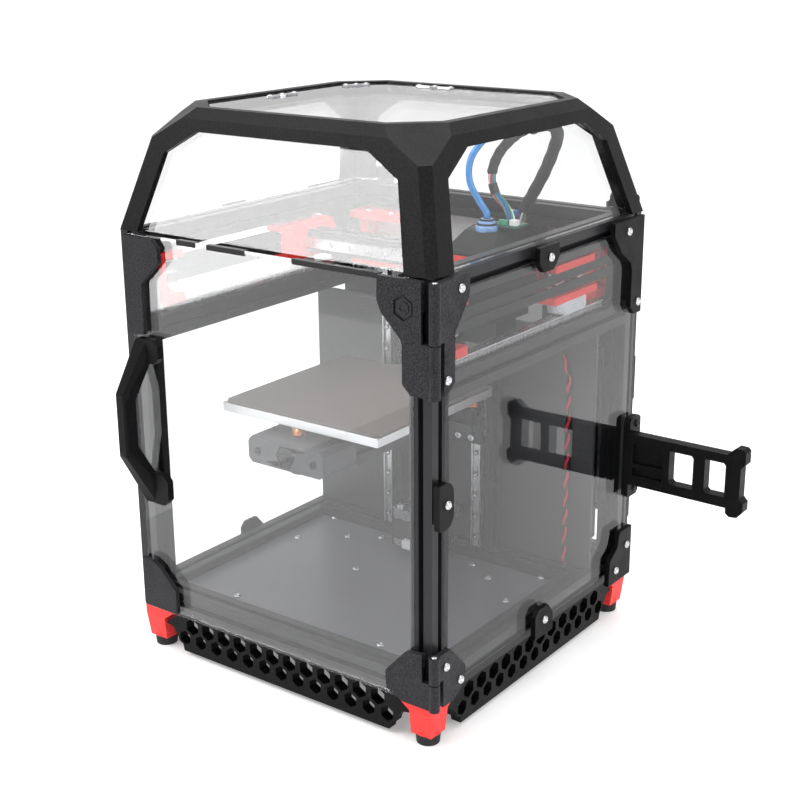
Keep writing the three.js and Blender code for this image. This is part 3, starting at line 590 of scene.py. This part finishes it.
def rail_hole(at, axis, rr=1.75):
    m.lathe([(0, 0.02), (rr * 0.45, 0.02, 6), (rr * 0.45, 0.05, 6), (rr, 0.05), (rr, -0.02), (0, -0.02)], at, axis, M_DARK, 18)
    m.lathe([(0, 0.07), (rr * 0.40, 0.07, 6), (rr * 0.42, 0.16, 6), (rr * 0.74, 0.16), (rr * 0.80, 0.10), (rr * 0.80, 0.03), (0, 0.03)], at, axis, M_SCREW, 18)


for x in (-36.5, 36.5):
    for k in range(10):
        rail_hole((x, 46, 27.5 + 15 * k), (0, -1, 0))
for s in (-1, 1):
    for k in range(11):
        rail_hole((s * 107.5, -81 + 15 * k, 197), (0, 0, 1))
m.make("rail_screws", "frame", "steel")
m = Mesh()
for k in range(12):
    rail_hole((-82.5 + 15 * k, 27, 217.8), (0, -1, 0))
m.make("beam_rail_screws", "gantry", "steel")

# end caps of the carriages on the lift rails
m = Mesh()
z = 113
for x in (-36.5, 36.5):
    for a, b in ((z - 11.3, z - 8.8), (z + 17.8, z + 20.3)):
        m.box(x - 8.7, x + 8.7, 38.9, 45.7, a, b, M_GREYP)
    for dx in (-5, 5):
        for dz in (-10, 19.5):
            m.cap_screw((x + dx, 34.0, z + dz), (0, -1, 0), 2.3, 1.6)
m.make("carriage_caps", "bed", "steel", 0.3)

# lead screw thread
m = Mesh()
for start in range(4):
    pts = []
    for k in range(16 * 16 + 1):
        zz = 57 + (188 - 57) * k / (16 * 16)
        t = 2 * math.pi * (zz - 57) / 8 + start * math.pi / 2
        pts.append((3.0 * math.cos(t), 42 + 3.0 * math.sin(t), zz))
    m.sweep(pts, 0.42, M_STEEL, 6)
m.make("lead_screw_thread", "screw", "steel")

# motor for the bed: end plates and plug
m = Mesh()
m.prism([(-17.8, 27), (-15, 24.2), (15, 24.2), (17.8, 27), (17.8, 57), (15, 59.7), (-15, 59.7), (-17.8, 57)], 36, 43.2, "XY", M_STEEL)
m.prism([(-17.8, 27), (-15, 24.2), (15, 24.2), (17.8, 27), (17.8, 57), (15, 59.7), (-15, 59.7), (-17.8, 57)], 15.4, 21, "XY", M_STEEL)
for x in (-13, 13):
    for y in (29, 55): m.cap_screw((x, y, 43.2), (0, 0, 1), 2.3, 1.6)
m.box(-6, 6, 20.5, 24.4, 17, 23, WIRES["white"])
m.make("lift_motor_plates", "frame", "steel", 0.3)

# ------------------------------------------------------------------ bed details
m = Mesh()
for x, y, z0, z1 in [(-2, -87, 130.2, 135.7), (48, 22.5, 128.2, 135.7), (-48, 22.5, 128.2, 135.7)]:
    n = int((z1 - z0) / 1.45 * 20)
    m.sweep([(x + 3.85 * math.cos(2 * math.pi * k / 20), y + 3.85 * math.sin(2 * math.pi * k / 20), z0 + 0.5 + (z1 - z0 - 1.0) * k / n) for k in range(n + 1)], 0.52, M_COPPER, 8)
    m.lathe([(0, z0 + 0.2), (3.5, z0 + 0.2), (3.5, z1 - 0.2), (0, z1 - 0.2)], (x, y, 0), (0, 0, 1), M_COPPER, 20)
m.make("bed_springs", "bed", "steel")
m = Mesh()
for k in range(26):
    t = 2 * math.pi * k / 26
    m.lathe([(0, 107.3), (0.45, 107.3), (0.45, 112.6), (0, 112.6)], (-2 + 5.4 * math.cos(t), -87 + 5.4 * math.sin(t), 0), (0, 0, 1), M_PRINT, 6)
m.lathe([(0, -0.6), (1.6, -0.6), (1.6, 0.1), (0, 0.1)], (-2, -87, 107), (0, 0, 1), M_SCREW, 16)
m.make("bed_thumb_nut", "bed", "black_print")
m = Mesh()
for x in (-21.5, 21.5): m.screw((x, -103, 121), (0, -1, 0), 2.6, 1.2, M_DARK)
hx = [(6.1 * math.cos(k * math.pi / 3), 121.5 + 6.1 * math.sin(k * math.pi / 3)) for k in range(6)]
m.prism(hx, -102.6, -101.35, "XZ", M_DARK)
m.lathe([(0, 0), (3.4, 0), (3.4, 0.5), (1.9, 0.5), (1.9, 0.05), (0, 0.05)], (0, -102.6, 121.5), (0, -1, 0), M_SPECK, 20)
for x in (-21.5, 21.5): m.screw((x, -87, 130), (0, 0, 1), 2.6, 1.6, M_DARK)
m.make("bed_mount_screws", "bed", "steel")
m = Mesh()
m.prism([(-50, -78), (-46, -81), (46, -81), (50, -78), (50, 15), (46, 18), (-46, 18), (-50, 15)], 134.6, 135.8, "XY", M_SILICONE)
m.make("bed_heater_pad", "bed", "build_sheet", 0.2)
m = Mesh()
for k, c in enumerate(["red", "black", "white", "white"]):
    m.sweep(curve([(6 + 1.5 * k, 17, 134.9), (7 + 1.5 * k, 24, 134.2), (8 + 1.5 * k, 33.5, 130.5), (9 + 1.5 * k, 36, 122), (9.5 + 1.5 * k, 38.5, 116.5)], 24), 0.65, WIRES[c], 8)
m.make("bed_wires", "bed", "sleeve")

# ------------------------------------------------------------------ floor panel screws
m = Mesh()
for x, y in [(-58, -88), (-87, 6.6), (-88.5, 50), (-59, 28.6), (-38.6, 41), (-21.4, -10.4), (58, -88), (87, 6.6), (87, 50), (59, 28.6), (38.6, 41)]:
    m.screw((x, y, 9), (0, 0, 1), 2.6, 1.5)
m.make("floor_screws", "frame", "steel")

# ------------------------------------------------------------------ belts, idlers and pulleys
for s, side in ((1, "right"), (-1, "left")):
    m = Mesh()
    fxs = lambda a, b: (min(s * a, s * b), max(s * a, s * b))
    x0, x1 = fxs(97.6, 114.3)
    m.box(x0, x1, -99.2, -80, 198.2, 204, M_RED)
    m.box(x0, x1, -99.2, -80, 226.5, 231, M_RED)
    m.box(x0, x1, -99.2, -95.6, 203.9, 226.6, M_RED)
    m.make("front_idler_" + side, "frame", "red_print", 0.6)
    m = Mesh()
    for z0 in (211.2, 218.6):
        m.lathe([(0, z0 - 0.9), (6.6, z0 - 0.9), (6.6, z0), (5.4, z0 + 0.1), (5.4, z0 + 6), (6.6, z0 + 6.1), (6.6, z0 + 6.7), (0, z0 + 6.7)], (s * 105.5, -88.2, 0), (0, 0, 1), M_STEEL, 28)
    m.lathe([(0, 203.6), (1.5, 203.6), (1.5, 226.8), (0, 226.8)], (s * 105.5, -88.2, 0), (0, 0, 1), M_SCREW, 14)
    m.cap_screw((s * 105.5, -88.2, 231), (0, 0, 1), 2.6, 2.4)
    m.make("front_idler_wheels_" + side, "frame", "steel")
    m = Mesh()
    for z0 in (211.4, 218.8):
        zc = z0 + 2.9
        m.sweep([(s * 111.55, y, zc) for y in (-88.2, -60, 0, 60, 94)], 1, M_BELT, flat=(0.75, 5.6))
    m.make("belt_outer_" + side, "frame", "black_print")
    m = Mesh()
    for z0 in (211.4, 218.8):
        zc = z0 + 2.9
        arc = [(s * (105.5 + 6.05 * math.cos(a)), -88.2 - 6.05 * math.sin(a), zc) for a in [math.pi * k / 16 for k in range(17)]]
        m.sweep(arc + [(s * 99.45, y, zc) for y in (-80, -60, -40, -20, 0, 14)], 1, M_BELT, flat=(0.75, 5.6))
    m.make("belt_inner_" + side, None, "black_print", blend=("frame", "gantry", P(s * 99.45, -76, 214), P(s * 99.45, 10, 214)))
    # drive unit: motor pulley, plate screws, motor seams
    m = Mesh()
    m.lathe([(0, 198.3), (7.4, 198.3), (7.4, 199.6), (6.7, 199.8), (6.7, 207), (7.4, 207.2), (7.4, 208), (7.1, 208.3), (7.1, 213.2), (3.2, 213.2), (2.6, 213.9), (0, 213.9)], (s * 80, 99, 0), (0, 0, 1), M_STEEL, 30)
    for k in range(20):
        t = 2 * math.pi * k / 20
        m.lathe([(0, 199.9), (0.55, 199.9), (0.55, 206.9), (0, 206.9)], (s * 80 + 6.7 * math.cos(t), 99 + 6.7 * math.sin(t), 0), (0, 0, 1), M_STEEL, 6)
    for dx, dy in ((66, 92), (94, 110), (66, 110), (86, 92)):
        m.screw((s * dx, dy, 229), (0, 0, 1), 2.5, 1.5)
    m.make("drive_pulley_" + side, "frame", "steel")
    m = Mesh()
    a, b = fxs(61.7, 97.5)
    for z0, z1 in ((186, 192.5), (156.8, 163)):
        m.prism([(a, 87), (a + 2.8, 84.2), (b - 2.8, 84.2), (b, 87), (b, 111.6), (b - 2.8, 114.4), (a + 2.8, 114.4), (a, 111.6)], z0, z1, "XY", M_STEEL)
    m.make("drive_motor_plates_" + side, "frame", "steel", 0.3)
    # joint wheels
    m = Mesh()
    for yy in (48, 24):
        for z0 in (211.3, 218.7):
            m.lathe([(0, z0 - 0.6), (6.0, z0 - 0.6), (6.0, z0), (5.7, z0 + 0.1), (5.7, z0 + 5.6), (6.0, z0 + 5.7), (6.0, z0 + 6.3), (0, z0 + 6.3)], (s * 105.3, yy, 0), (0, 0, 1), M_STEEL, 26)
        m.screw((s * 105.3, yy, 229.5), (0, 0, 1), 2.5, 1.5)
    m.make("joint_wheels_" + side, "gantry", "steel")
# limit switch tower on the right joint
m = Mesh()
m.box(93.4, 98.8, 16, 27, 229.4, 243.6, M_RED)
m.box(93.8, 98.4, 12.6, 16.2, 235, 243, M_DARK)
m.make("switch_tower", "gantry", "red_print", 0.5)

# ------------------------------------------------------------------ toolhead details
HX, HY = 68, 8
m = Mesh()
m.lathe([(0, 0), (4.8, 0), (4.8, 0.55), (4.2, 0.9), (0, 0.9)], (HX, HY - 19.5, 216), (0, -1, 0), M_DARK, 24)
for k in range(7):
    a0 = 2 * math.pi * k / 7
    v = []
    for j in range(7):
        rr = 4.6 + (12.4 - 4.6) * j / 6
        a = a0 + 0.42 * j / 6
        for da, dy in ((-0.20, -18.6), (0.24, -17.7)):
            v.append((HX + rr * math.cos(a + da), HY + dy, 216 + rr * math.sin(a + da)))
    top = [(x, y + 0.35, zz) for x, y, zz in v]
    n = len(v)
    f = []
    for j in range(6):
        i = 2 * j
        f += [(i, i + 1, i + 3, i + 2), (n + i, n + i + 2, n + i + 3, n + i + 1), (i, i + 2, n + i + 2, n + i), (i + 1, n + i + 1, n + i + 3, i + 3)]
    f += [(0, n, n + 1, 1), (n - 2, n - 1, 2 * n - 1, 2 * n - 2)]
    m.add(v + top, f, M_DARK, False)
for dx in (-11.5, 11.5):
    for dz in (-11.5, 11.5):
        m.screw((HX + dx, HY - 20, 216 + dz), (0, -1, 0), 2.1, 1.3)
m.make("head_fan", "toolhead", "black_print")
m = Mesh()
# collet where the tube goes in, nozzle block, fan ducts' louvres, plugs
m.lathe([(0, 246.4), (6.5, 246.4), (6.9, 247.0), (6.9, 249.6), (6.2, 250.4), (5.2, 250.8), (5.2, 252.4), (4.9, 252.9), (3.6, 253.1), (3.6, 254.1), (2.3, 254.1), (2.3, 253.2), (0, 253.2)], (HX, HY, 0), (0, 0, 1), M_COLLET, 32)
m.make("tube_collet", "toolhead", "blue_tube")
m = Mesh()
m.box(HX - 7.5, HX + 7.5, HY - 11.4, HY + 5, 176.2, 180.4, M_GREYP)
m.lathe([(0, 171.4), (0.5, 171.4), (2.1, 174), (2.1, 174.2, 6), (3.3, 174.2, 6), (3.3, 176.4, 6), (0, 176.4)], (HX, HY - 2, 0), (0, 0, 1), M_BRASS, 24)
m.make("nozzle", "toolhead", "steel", 0.3)
m = Mesh()
m.box(HX + 5.4, HX + 19.6, HY + 1.4, HY + 14.6, 249.6, 251.0, M_BOARD)
m.box(HX + 6.4, HX + 12.4, HY + 9.0, HY + 14.0, 251.0, 255.2, M_DARK)
m.box(HX + 14.0, HX + 19.0, HY + 2.4, HY + 6.4, 251.0, 254.4, WIRES["white"])
m.box(HX + 6.6, HX + 12.6, HY + 2.2, HY + 5.4, 251.0, 253.8, WIRES["green"])
m.make("head_board", "toolhead", "black_print", 0.25)
m = Mesh()
for sx in (-1, 1):
    for k in range(6):
        z0 = 200 + 5.2 * k
        a, b = sorted((HX + sx * 21.02, HX + sx * 21.5))
        m.box(a, b, HY - 9, HY + 11, z0, z0 + 2.4, M_DARK)
m.box(HX - 10, HX + 10, HY - 21.0, HY - 19.9, 230.6, 234.4, M_RED)
m.make("head_louvres", "toolhead", "black_print", 0.2)
# short runs of wire on the head
m = Mesh()
for k, c in enumerate(["red", "white", "teal", "blue"]):
    m.sweep(curve([(HX + 8.0 + 1.4 * k, HY + 11.5, 254.8), (HX + 8.5 + 1.4 * k, HY + 11.8, 258.0), (HX + 10.2 + 1.0 * k, HY + 13.5, 257.6), (HX + 11.5, HY + 17.5, 252.0), (HX + 12.0, HY + 18.4, 244.0)], 26), 0.62, WIRES[c], 8)
m.make("head_jumpers", "toolhead", "sleeve")

# ------------------------------------------------------------------ top hat fittings
m = Mesh()
for (ax, ay), (bx, by) in (((-72.5, -26), (-72.0, 1.5)), ((-34, 77.5), (-4, 77.5)), ((-75.5, 52), (-66, 69))):
    d = Vector((bx - ax, by - ay, 0)); L = d.length; d.normalize(); nrm = Vector((-d.y, d.x, 0))
    c = Vector(((ax + bx) / 2, (ay + by) / 2, 0))
    pts = [c + d * u + nrm * v for u, v in ((-L / 2, -0.8), (-L / 2 + 2, -2.2), (-3.5, -1.4), (0, -2.9), (3.5, -1.4), (L / 2 - 2, -2.2), (L / 2, -0.8), (L / 2, 0.8), (L / 2 - 2, 2.2), (3.5, 1.4), (0, 2.9), (-3.5, 1.4), (-L / 2 + 2, 2.2), (-L / 2, 0.8))]
    m.prism([(p.x, p.y) for p in pts], 319.2, 320.4, "XY", M_SCREW)
    for u in (-L / 2 + 2.5, 0, L / 2 - 2.5):
        q = c + d * u
        m.lathe([(0, 320.3), (0.6, 320.3, 6), (0.6, 321.0, 6), (1.3, 321.0), (1.7, 320.6), (1.7, 320.2), (0, 320.2)], (q.x, q.y, 0), (0, 0, 1), M_SCREW, 18)
m.make("roof_clips", "top_hat", "steel", 0.2)

# ------------------------------------------------------------------ door: painted reflection along its upper edge; the black strips paint the dark dashes the frame's reflection makes in the door's top edge
m = Mesh()
for a, b in ((-64, -49), (-40, -11), (24, 83.6)):
    m.box(a, b, -119.5, -118.7, 244.2, 247.3, M_DARK)
    m.box(a, b, -118.75, -115.9, 246.5, 247.3, M_DARK)
# white strips between them: painted highlight of the lit acrylic edge
for a, b in ((-76.5, -64.4), (-48.6, -40.4), (-10.6, 23.6)):
    m.box(a, b, -119.3, -118.7, 245.6, 247.2, WIRES["white"])
m.make("door_edge_painted_reflection", "door", "black_print", 0.1)

# ------------------------------------------------------------------ left side and rear: clips and screws, as on the right
m = Mesh()
LX0, LX1 = -118.6, -121.6
for pts in ([(-20, 247.2), (-20, 239), (-15, 232.5), (-4, 232.5), (2, 239), (2, 247.2)], [(-15, 0.8), (6, 0.8), (6, 13), (0, 20), (-11, 20), (-15, 16)],
            [(113, 108), (109, 103), (104, 104), (100.5, 110), (100.5, 126), (104, 131.5), (113, 135)],
            [(108, 1), (108, 36), (91, 36), (89, 26), (79, 19), (78, 1)], [(106.5, 247), (68, 247), (68, 239), (78, 227), (90, 219), (92, 214), (92, 190), (97, 184.5), (106.5, 184.5)],
            [(-108, 1), (-108, 30), (-104, 30), (-92, 18.5), (-92, 8), (-104, 1)]):
    m.prism(list(pts), LX1, LX0, "YZ", M_PRINT)
m.make("clips_left", "frame", "black_print", 0.4)
m = Mesh()
for y, z in ((-7.9, 240.3), (-4.3, 11.1), (107, 119), (101.2, 24), (87.2, 10), (86, 239.4), (101.2, 191.9), (-98.2, 13.4)):
    m.screw((LX1, y, z), (-1, 0, 0), 2.7)
m.make("screws_left", "frame", "steel")

m = Mesh()
R0, R1 = 118.0, 120.6
for s in (-1, 1):
    for pts in ([(113, 36), (113, 62), (106, 62), (92, 52), (88, 44), (88, 36)], [(113, 120), (113, 150), (104, 146), (99, 140), (99, 130), (104, 124)], [(86, 236), (86, 224), (92, 216), (104, 210), (113, 206), (113, 232), (104, 232), (100, 236)]):
        m.prism([(s * a, b) for a, b in pts], R0, R1, "XZ", M_PRINT)
m.make("clips_rear", "frame", "black_print", 0.4)
m = Mesh()
for s in (-1, 1):
    for x, z in ((100, 44), (107, 135), (106, 216)):
        m.screw((s * x, R1, z), (0, 1, 0), 2.6)
    for z in (235.5, 246):
        m.screw((s * 93, 122.5, z) if z < 240 else (s * 93.5, 126.8, z), (0, 1, 0), 2.2, 1.3)
m.make("screws_rear", "frame", "steel")

# rear: fan grille, power inlet and switch
m = Mesh()
cx, cz = 0, 196
m.lathe([(0, 0), (26, 0), (26, 1.4), (24.6, 2.0), (22.8, 2.0), (22.8, 0.8), (0, 0.8)], (cx, 117.9, cz), (0, 1, 0), M_PRINT, 48)
for rr in (6, 10, 14, 18, 22):
    n = 48
    m.sweep([(cx + rr * math.cos(2 * math.pi * k / n), 119.6, cz + rr * math.sin(2 * math.pi * k / n)) for k in range(n + 1)], 0.55, M_SCREW, 6)
for k in range(4):
    t = math.pi / 4 + k * math.pi / 2
    m.sweep([(cx + 3.0 * math.cos(t), 119.9, cz + 3.0 * math.sin(t)), (cx + 23.4 * math.cos(t), 119.9, cz + 23.4 * math.sin(t))], 0.7, M_SCREW, 8)
    m.screw((cx + 24.2 * math.cos(t), 119.6, cz + 24.2 * math.sin(t)), (0, 1, 0), 2.2, 1.2)
for k in range(9):
    a0 = 2 * math.pi * k / 9
    v = []
    for j in range(7):
        rr = 5 + 16.5 * j / 6
        for da, dy in ((-0.15 + 0.05 * j, 118.85), (0.22 + 0.05 * j, 119.05)):
            v.append((cx + rr * math.cos(a0 + da), dy, cz + rr * math.sin(a0 + da)))
    n = len(v)
    top = [(x, y + 0.25, zz) for x, y, zz in v]
    f = []
    for j in range(6):
        i = 2 * j
        f += [(i, i + 1, i + 3, i + 2), (n + i, n + i + 2, n + i + 3, n + i + 1), (i, i + 2, n + i + 2, n + i), (i + 1, n + i + 1, n + i + 3, i + 3)]
    f += [(0, n, n + 1, 1), (n - 2, n - 1, 2 * n - 1, 2 * n - 2)]
    m.add(v + top, f, M_DARK, False)
m.make("rear_fan", "frame", "black_print")
m = Mesh()
m.prism([(-23, 20.8), (23, 20.8), (23, 37.2), (-23, 37.2)], 117.55, 118.5, "XZ", M_DARK)
m.prism([(-20, 22.4), (2, 22.4), (4, 24.4), (4, 35.6), (-20, 35.6)], 118.4, 119.4, "XZ", M_GREYP)
for x, zz in ((-14, 27), (-8, 31.4), (-2, 27)):
    m.box(x - 0.9, x + 0.9, 119.3, 119.9, zz - 2, zz + 2, M_SCREW)
m.prism([(8.5, 23), (19.5, 23), (19.5, 35.2), (8.5, 35.2)], 118.4, 119.2, "XZ", M_DARK)
m.prism([(9.8, 24.2), (18.2, 24.2), (18.2, 29), (9.8, 29)], 119.1, 120.3, "XZ", M_RED)
m.prism([(9.8, 29.1), (18.2, 29.1), (18.2, 34), (9.8, 34)], 119.1, 119.7, "XZ", M_RED)
m.make("power_inlet", "frame", "black_print", 0.25)

# electronics seen through the right panel from behind the inner sheet
m = Mesh()
m.box(80, 91, 73.5, 81.9, 60, 120, M_BOARD)
for k in range(5):
    m.box(82, 90, 71.2, 73.6, 64 + 11 * k, 71 + 11 * k, WIRES["white"] if k % 2 else M_DARK)
m.make("control_board", "frame", "black_print", 0.25)

# dark gasket under the lower edge of the inner back sheet
m = Mesh()
m.box(-112.6, 112.6, 65.0, 68.9, 15.05, 15.55, M_RUBBER)
m.make("back_sheet_gasket", "frame", "black_print")

# a red and black pair that runs down beside the back sheet
m = Mesh()
for k, c in enumerate(("red", "black")):
    pts = []
    for j in range(241):
        zz = 15.4 + 149 * j / 240
        t = 2 * math.pi * zz / 13 + k * math.pi
        bend = max(0.0, (zz - 140) / 24.4)
        pts.append((95.2 - 9 * bend * bend + 0.85 * math.cos(t), 64.4 + 0.85 * math.sin(t), zz))
    m.sweep(pts, 0.8, WIRES[c], 8)
m.make("twisted_pair", "frame", "sleeve")

# ------------------------------------------------------------------ floor, light, background
me = bpy.data.meshes.new("ground")
g = 3.0
me.from_pydata([(-g, -g, -0.0004), (g, -g, -0.0004), (g, g, -0.0004), (-g, g, -0.0004)], [], [(0, 1, 2, 3)])
ground = bpy.data.objects.new("ground", me)
scene.collection.objects.link(ground)
gm, nt, out = new_mat("pale_floor")
b = principled(nt, Specular_IOR_Level=0.2)
nt.links.new(ramp(nt, noise(nt, 2, 2), [(0.2, (0.95, 0.95, 0.95)), (0.8, (0.97, 0.97, 0.97))]), b.inputs["Base Color"])
b.inputs["Emission Color"].default_value = (1, 1, 1, 1)
b.inputs["Emission Strength"].default_value = 0.24
b.inputs["Roughness"].default_value = 0.6
nt.links.new(b.outputs[0], out.inputs["Surface"])
me.materials.append(gm)

world = bpy.data.worlds.new("studio")
scene.world = world
world.use_nodes = True
bg = world.node_tree.nodes["Background"]
bg.inputs["Color"].default_value = (1, 1, 1, 1)
wn = world.node_tree
lp = wn.nodes.new("ShaderNodeLightPath")
st = wn.nodes.new("ShaderNodeMapRange")
st.inputs["To Min"].default_value, st.inputs["To Max"].default_value = 0.88, 1.10
wn.links.new(lp.outputs["Is Camera Ray"], st.inputs["Value"])
wn.links.new(st.outputs["Result"], bg.inputs["Strength"])


def area(name, at, aim, size, power, colour=(1, 1, 1)):
    d = bpy.data.lights.new(name, "AREA")
    d.shape, d.size, d.size_y, d.energy, d.color = "RECTANGLE", size[0], size[1], power, colour
    o = bpy.data.objects.new(name, d)
    scene.collection.objects.link(o)
    at, aim = Vector(at), Vector(aim)
    o.matrix_world = Matrix.Translation(at) @ (at - aim).to_track_quat("Z", "Y").to_matrix().to_4x4()


area("key", (-0.55, -0.75, 1.05), (0, 0, 0.15), (0.9, 0.9), 9)
area("side", (1.2, -0.1, 0.7), (0, 0, 0.15), (0.8, 0.8), 5)
area("overhead", (0.0, 0.1, 1.3), (0, 0, 0.1), (1.0, 1.0), 7)

# soft boxes at the left of the set that only the clear sheets mirror
sheets = bpy.data.collections.new("clear_sheets")
for n in ("door_panel", "hat_windows", "side_panel_left", "side_panel_right", "hat_top_panel"):
    sheets.objects.link(nodes[n])


def card(name, centre, facing, size, radiance):
    d = bpy.data.lights.new(name, "AREA")
    d.shape, d.size, d.size_y = "RECTANGLE", size[0], size[1]
    d.energy = radiance * math.pi * size[0] * size[1]
    o = bpy.data.objects.new(name, d)
    scene.collection.objects.link(o)
    o.matrix_world = Matrix.Translation(Vector(centre)) @ Vector(facing).to_track_quat("-Z", "Y").to_matrix().to_4x4()
    o.light_linking.receiver_collection = sheets
    o.visible_camera = o.visible_diffuse = o.visible_transmission = o.visible_volume_scatter = False
    return o


card("softbox_left", (fx(-630), fy(-900), 0.62), (1, 0, 0), (1.1, 1.16), 7.0)
card("softbox_low", (fx(-430), fy(-520), 0.01), (0, 0, 1), (0.36, 0.60), 0.6)

scene.view_settings.view_transform = "Standard"
scene.view_settings.look = "None"
scene.view_settings.exposure = 0.0
scene.cycles.transparent_max_bounces = 32
